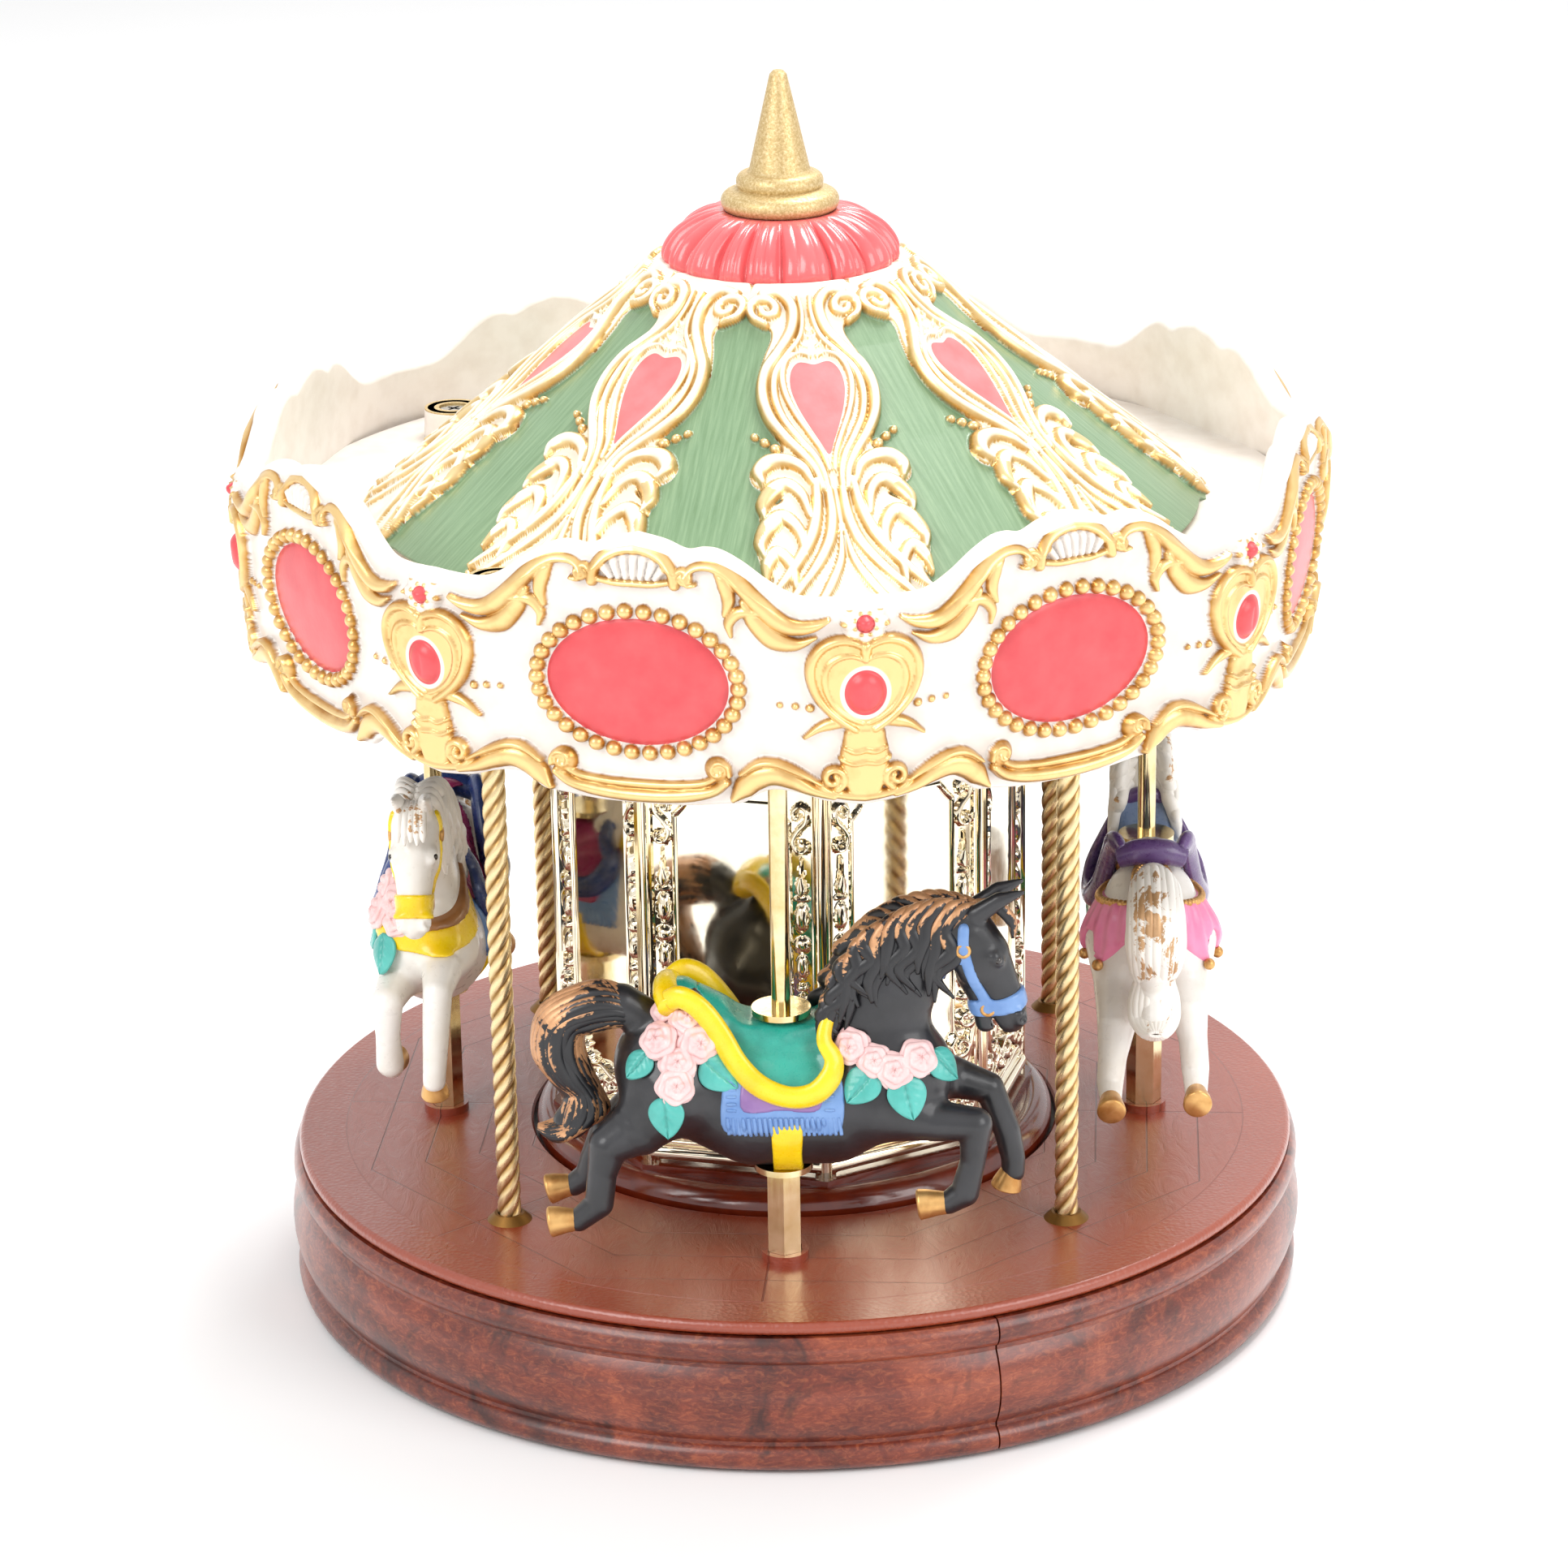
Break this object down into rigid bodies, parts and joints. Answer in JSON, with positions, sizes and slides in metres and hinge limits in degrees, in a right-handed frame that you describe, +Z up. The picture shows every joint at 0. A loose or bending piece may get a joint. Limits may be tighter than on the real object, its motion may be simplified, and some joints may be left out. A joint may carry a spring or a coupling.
{
  "type": "carousel music box",
  "caption": "Wind-up carousel music box: horses on brass poles ride a turning deck round a mirrored column under a scalloped canopy.",
  "frame": {"origin": "centre of the base, on the surface that it stands on", "axes": "+Z up along the column; the front horse stands towards -Y and faces +X"},
  "size_m": [0.247, 0.247, 0.2861],
  "materials": {
    "burl": "moulded burl-wood pattern, glossy lacquer",
    "dark_board": "matt moulded plate",
    "foot_felt": "soft foot pad",
    "zinc_screw": "zinc plated",
    "black_plastic": "moulded",
    "nylon": "natural nylon",
    "steel": "machined",
    "cast_frame": "die cast",
    "brass": "machined",
    "grey_plastic": "moulded",
    "deck_brown": "satin moulded parquet",
    "twist_brass": "aged satin brass",
    "plinth_brown": "glossy",
    "gold_plate": "vacuum-plated gold mirror",
    "ivory_resin": "satin ivory paint with gold relief",
    "roof_green": "brushed green and gold paint over resin",
    "coral_resin": "glossy coral paint",
    "gold_paint": "metallic gold paint",
    "chrome_screw": "plated",
    "pole_brass": "polished brass",
    "black_horse": "satin black paint, painted tack",
    "white_horse": "satin white paint, painted tack"
  },
  "bodies": {
    "base": {"base_half_left": "burl", "base_half_right": "burl", "bottom_plate": "dark_board", "base_feet": "foot_felt", "base_screws": "zinc_screw", "cam_track": "black_plastic", "slip_ring": "nylon", "hub_posts": "steel", "hub_journal": "cast_frame", "movement_frame": "cast_frame", "comb": "steel", "comb_screws": "zinc_screw", "plinth": "plinth_brown", "column_core": "grey_plastic", "mirror_panels": "gold_plate", "corner_mouldings": "gold_plate", "column_cap": "black_plastic", "canopy_frame": "black_plastic", "canopy_crown": "ivory_resin", "roof": "roof_green", "roof_cap": "coral_resin", "finial": "gold_paint", "tie_rod": "steel", "screw_cups": "gold_paint", "canopy_screws": "chrome_screw"},
    "turntable": {"deck": "deck_brown", "ring_gear": "grey_plastic", "deck_collars": "deck_brown", "twisted_pole_1": "twist_brass", "twisted_pole_2": "twist_brass", "twisted_pole_3": "twist_brass", "twisted_pole_4": "twist_brass", "pole_flanges": "twist_brass", "pole_nuts": "zinc_screw", "upper_ring": "black_plastic", "tube_bushes": "nylon"},
    "front_rider": {"front_horse": "black_horse", "front_tube": "pole_brass", "front_bar": "pole_brass", "front_discs": "pole_brass"},
    "right_rider": {"right_horse": "white_horse", "right_tube": "pole_brass", "right_bar": "pole_brass", "right_discs": "pole_brass"},
    "rear_rider": {"rear_horse": "white_horse", "rear_tube": "pole_brass", "rear_bar": "pole_brass", "rear_discs": "pole_brass"},
    "left_rider": {"left_horse": "white_horse", "left_tube": "pole_brass", "left_bar": "pole_brass", "left_discs": "pole_brass"},
    "key": {"winding_key": "steel"},
    "barrel": {"spring_barrel": "brass"},
    "idler": {"idler_gear": "brass"},
    "cylinder": {"pinned_cylinder": "brass"},
    "governor_drive": {"governor_wheel": "brass"},
    "air_brake": {"governor": "brass"},
    "slider": {"stop_slide": "steel"}
  },
  "joints": [
    {"name": "turntable_spin", "type": "hinge", "parent": "base", "child": "turntable", "pos_m": [0, 0, 0.033], "axis": [0, 0, 1], "continuous": true},
    {"name": "front_lift", "type": "slide", "parent": "turntable", "child": "front_rider", "axis": [0, 0, 1], "range_m": [0, 0.0094]},
    {"name": "right_lift", "type": "slide", "parent": "turntable", "child": "right_rider", "axis": [0, 0, 1], "range_m": [-0.0094, 0]},
    {"name": "rear_lift", "type": "slide", "parent": "turntable", "child": "rear_rider", "axis": [0, 0, 1], "range_m": [0, 0.0094]},
    {"name": "left_lift", "type": "slide", "parent": "turntable", "child": "left_rider", "axis": [0, 0, 1], "range_m": [-0.0094, 0]},
    {"name": "key_spin", "type": "hinge", "parent": "base", "child": "key", "pos_m": [0, 0.0262, 0.008], "axis": [0, 0, 1], "continuous": true},
    {"name": "barrel_spin", "type": "hinge", "parent": "base", "child": "barrel", "pos_m": [0, 0.0262, 0.03], "axis": [0, 0, 1], "continuous": true},
    {"name": "idler_spin", "type": "hinge", "parent": "base", "child": "idler", "pos_m": [0, 0.055, 0.022], "axis": [0, 0, 1], "continuous": true},
    {"name": "cylinder_spin", "type": "hinge", "parent": "base", "child": "cylinder", "pos_m": [0, 0, 0.0427], "axis": [0, 1, 0], "continuous": true},
    {"name": "governor_drive_spin", "type": "hinge", "parent": "base", "child": "governor_drive", "pos_m": [-0.0144, -0.033, 0.0427], "axis": [0, 1, 0], "continuous": true},
    {"name": "air_brake_spin", "type": "hinge", "parent": "base", "child": "air_brake", "pos_m": [-0.0232, -0.0299, 0.03], "axis": [0, 0, 1], "continuous": true},
    {"name": "stop_slide_travel", "type": "slide", "parent": "base", "child": "slider", "axis": [0, 1, 0], "range_m": [0, 0.006]}
  ],
  "couplings": [
    {"joint": "idler_spin", "follows": "turntable_spin", "ratio": 4.6667},
    {"joint": "barrel_spin", "follows": "turntable_spin", "ratio": -0.93333},
    {"joint": "cylinder_spin", "follows": "turntable_spin", "ratio": 2.8},
    {"joint": "governor_drive_spin", "follows": "turntable_spin", "ratio": -5.6},
    {"joint": "air_brake_spin", "follows": "turntable_spin", "ratio": -56}
  ]
}
